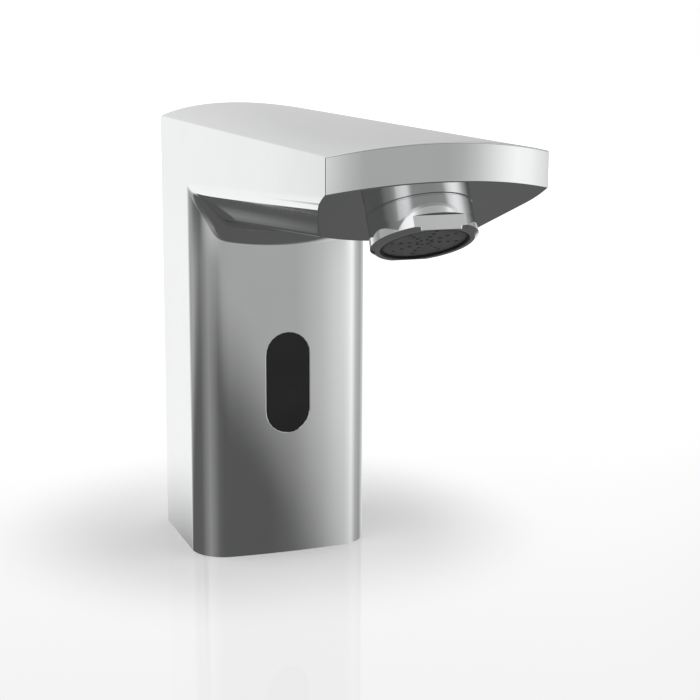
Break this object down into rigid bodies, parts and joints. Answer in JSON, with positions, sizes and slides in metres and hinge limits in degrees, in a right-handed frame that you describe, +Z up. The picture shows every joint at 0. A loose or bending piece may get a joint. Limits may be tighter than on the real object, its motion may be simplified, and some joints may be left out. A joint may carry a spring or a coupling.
{
  "type": "sensor tap",
  "caption": "Chromed basin tap with a square-edged spout, an infrared sensor window in the column and an aerator in the slanted outlet face",
  "frame": {"origin": "deck level, on the axis of the water inlet, at the middle of the column's foot", "axes": "+Z up, the spout points to -Y, X across the body"},
  "size_m": [0.06, 0.1903, 0.1463],
  "materials": {
    "chrome_body": "polished chrome plate on cast brass",
    "chrome_housing": "polished chrome plate on turned brass",
    "raw_brass": "machined brass, unplated",
    "black_rubber": "moulded black rubber",
    "screw_steel": "stainless steel screw",
    "filter_steel": "perforated stainless sheet",
    "white_acetal": "moulded white acetal",
    "orange_acetal": "moulded orange acetal",
    "spring_steel": "drawn spring wire",
    "ivory_plastic": "moulded ivory plastic",
    "black_nylon": "moulded black nylon",
    "tube_steel": "drawn stainless tube",
    "magnet_steel": "turned magnetic stainless steel",
    "copper_wire": "enamelled copper wire, wound in layers",
    "zinc_steel": "bright zinc-plated steel",
    "copper_pipe": "bent copper pipe",
    "green_plastic": "moulded green plastic",
    "black_plastic": "moulded black plastic ring",
    "grey_silicone": "moulded dark grey silicone",
    "window_plastic": "black plastic that passes infrared light, polished",
    "grey_plastic": "moulded dark grey plastic",
    "board_green": "green lacquered circuit board",
    "emitter_blue": "tinted cast lens body",
    "chip_black": "moulded chip package",
    "sheet_steel": "bent stainless sheet",
    "case_plastic": "moulded dark case",
    "battery_sleeve": "shrunk plastic sleeve",
    "contact_gold": "gold-plated contact",
    "red_cable": "soft red cable sheath",
    "blue_cable": "soft blue cable sheath"
  },
  "bodies": {
    "housing": {"body": "chrome_body", "base_plate": "raw_brass", "deck_seal": "black_rubber", "base_screws": "screw_steel", "inlet_fitting": "raw_brass", "inlet_filter": "filter_steel", "check_valve_seat": "white_acetal", "check_valve_spring": "spring_steel", "check_valve_guide": "white_acetal", "inlet_o_ring": "black_rubber", "valve_block": "raw_brass", "diaphragm": "black_rubber", "valve_bonnet": "black_nylon", "bonnet_screws": "screw_steel", "armature_tube": "tube_steel", "fixed_core": "magnet_steel", "plunger_spring": "spring_steel", "coil_bobbin": "black_nylon", "coil_winding": "copper_wire", "coil_yoke": "zinc_steel", "coil_nut": "zinc_steel", "outlet_pipe": "copper_pipe", "pipe_o_rings": "black_rubber", "spout_adapter": "raw_brass", "aerator_housing": "chrome_housing", "aerator_seal": "black_rubber", "aerator_screen": "filter_steel", "flow_regulator": "green_plastic", "spray_ring": "black_plastic", "spray_face": "grey_silicone", "sensor_window": "window_plastic", "window_gasket": "black_rubber", "sensor_housing": "grey_plastic", "sensor_board": "board_green", "ir_emitter": "emitter_blue", "ir_receiver": "chip_black", "board_chips": "chip_black", "sensor_bracket": "sheet_steel", "bracket_screws": "screw_steel", "chassis": "sheet_steel", "chassis_screws": "screw_steel", "battery_case": "case_plastic", "battery_cap": "case_plastic", "battery": "battery_sleeve", "battery_contacts": "contact_gold", "case_screws": "screw_steel", "battery_lead": "red_cable", "coil_lead": "blue_cable"},
    "plunger": {"plunger": "magnet_steel"},
    "pilot_plate": {"diaphragm_plate": "ivory_plastic"},
    "check_poppet": {"check_valve_poppet": "orange_acetal"}
  },
  "joints": [
    {"name": "plunger_slide", "type": "slide", "parent": "housing", "child": "plunger", "axis": [0, 0, 1], "range_m": [0, 0.002], "stiffness_N_per_m": 200, "springref_m": -0.003, "deforming": ["plunger_spring"]},
    {"name": "diaphragm_lift", "type": "slide", "parent": "housing", "child": "pilot_plate", "axis": [0, 0, 1], "range_m": [0, 0.0016]},
    {"name": "check_valve_slide", "type": "slide", "parent": "housing", "child": "check_poppet", "axis": [0, 0, 1], "range_m": [0, 0.0025], "stiffness_N_per_m": 80, "springref_m": -0.002, "deforming": ["check_valve_spring"]}
  ],
  "couplings": [
    {"joint": "diaphragm_lift", "follows": "plunger_slide", "ratio": 0.8}
  ]
}
